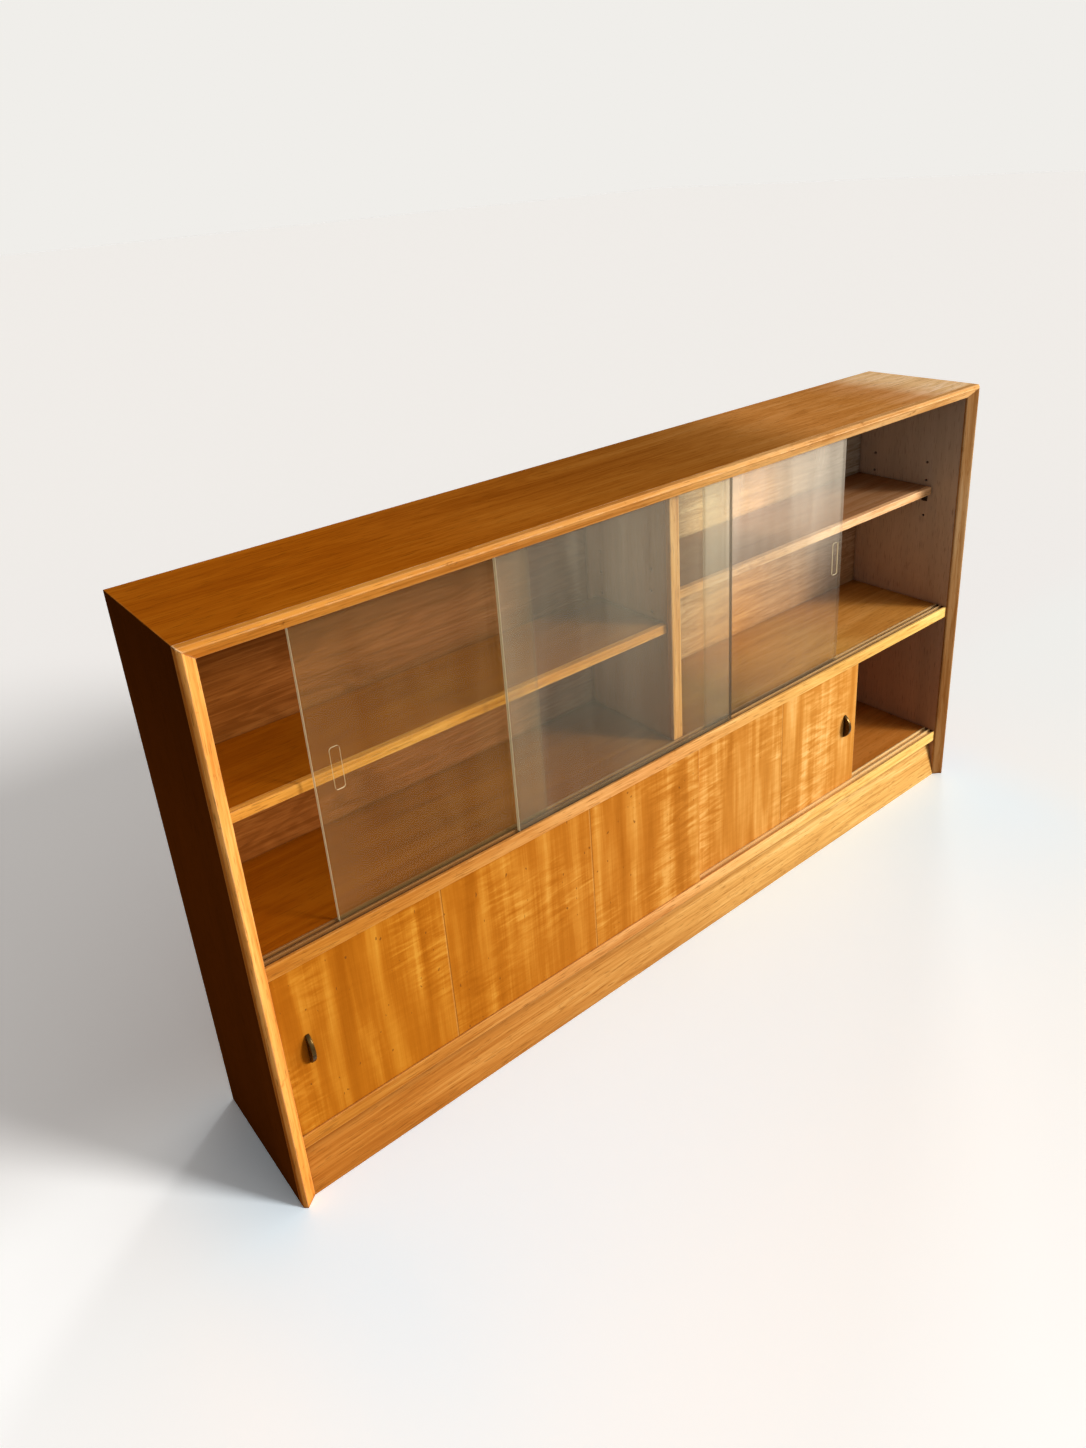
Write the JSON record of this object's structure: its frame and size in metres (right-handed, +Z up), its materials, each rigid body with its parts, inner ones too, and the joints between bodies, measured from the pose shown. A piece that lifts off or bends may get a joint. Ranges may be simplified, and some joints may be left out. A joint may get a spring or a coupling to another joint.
{
  "type": "bookcase with sliding doors",
  "caption": "Low wide wooden bookcase with sliding glass panes above, a sliding-door cupboard below, loose shelves and a leaning plinth.",
  "frame": {"origin": "floor level, middle of the overall box", "axes": "+X to the right along the front, +Y from the front to the back, +Z up"},
  "size_m": [1.524, 0.2407, 0.838],
  "materials": {
    "carcass_veneer": "satin",
    "solid_edge": "satin",
    "door_veneer": "satin",
    "back_plywood": "matte",
    "plain_timber": "matte",
    "track_plastic": "matte",
    "peg_metal": "satin",
    "pane_glass": "clear",
    "pull_brass": "dark patina",
    "pin_steel": "plain"
  },
  "bodies": {
    "case": {"left_side_panel": "carcass_veneer", "right_side_panel": "carcass_veneer", "top_panel": "carcass_veneer", "middle_board": "carcass_veneer", "bottom_board": "carcass_veneer", "upper_partition": "carcass_veneer", "lower_partition": "carcass_veneer", "left_shelf": "carcass_veneer", "right_shelf": "carcass_veneer", "plinth_board": "carcass_veneer", "left_side_lipping": "solid_edge", "right_side_lipping": "solid_edge", "top_lipping": "solid_edge", "middle_board_lipping": "solid_edge", "bottom_board_lipping": "solid_edge", "upper_partition_lipping": "solid_edge", "left_shelf_lipping": "solid_edge", "right_shelf_lipping": "solid_edge", "back_panel": "back_plywood", "rear_plinth_rail": "plain_timber", "left_mitre_tongue": "plain_timber", "right_mitre_tongue": "plain_timber", "plinth_glue_block_1": "plain_timber", "plinth_glue_block_2": "plain_timber", "plinth_glue_block_3": "plain_timber", "plinth_glue_block_4": "plain_timber", "plinth_glue_block_5": "plain_timber", "glass_track": "track_plastic", "door_track": "track_plastic", "left_shelf_pegs": "peg_metal", "right_shelf_pegs": "peg_metal", "back_panel_pins": "pin_steel"},
    "left_pane": {"left_glass_pane": "pane_glass"},
    "middle_pane": {"middle_glass_pane": "pane_glass"},
    "right_pane": {"right_glass_pane": "pane_glass"},
    "left_sliding_door": {"left_door": "door_veneer", "left_door_pull": "pull_brass", "left_door_pull_screws": "pin_steel"},
    "right_sliding_door": {"right_door": "door_veneer", "right_door_pull": "pull_brass", "right_door_pull_screws": "pin_steel"}
  },
  "joints": [
    {"name": "left_pane_slide", "type": "slide", "parent": "case", "child": "left_pane", "axis": [1, 0, 0], "range_m": [-0.112, 0.169]},
    {"name": "middle_pane_slide", "type": "slide", "parent": "case", "child": "middle_pane", "axis": [1, 0, 0], "range_m": [-0.398, 0.633]},
    {"name": "right_pane_slide", "type": "slide", "parent": "case", "child": "right_pane", "axis": [1, 0, 0], "range_m": [-0.169, 0.3375]},
    {"name": "left_sliding_door_slide", "type": "slide", "parent": "case", "child": "left_sliding_door", "axis": [1, 0, 0], "range_m": [0, 0.204]},
    {"name": "right_sliding_door_slide", "type": "slide", "parent": "case", "child": "right_sliding_door", "axis": [1, 0, 0], "range_m": [-0.204, 0.267]}
  ]
}
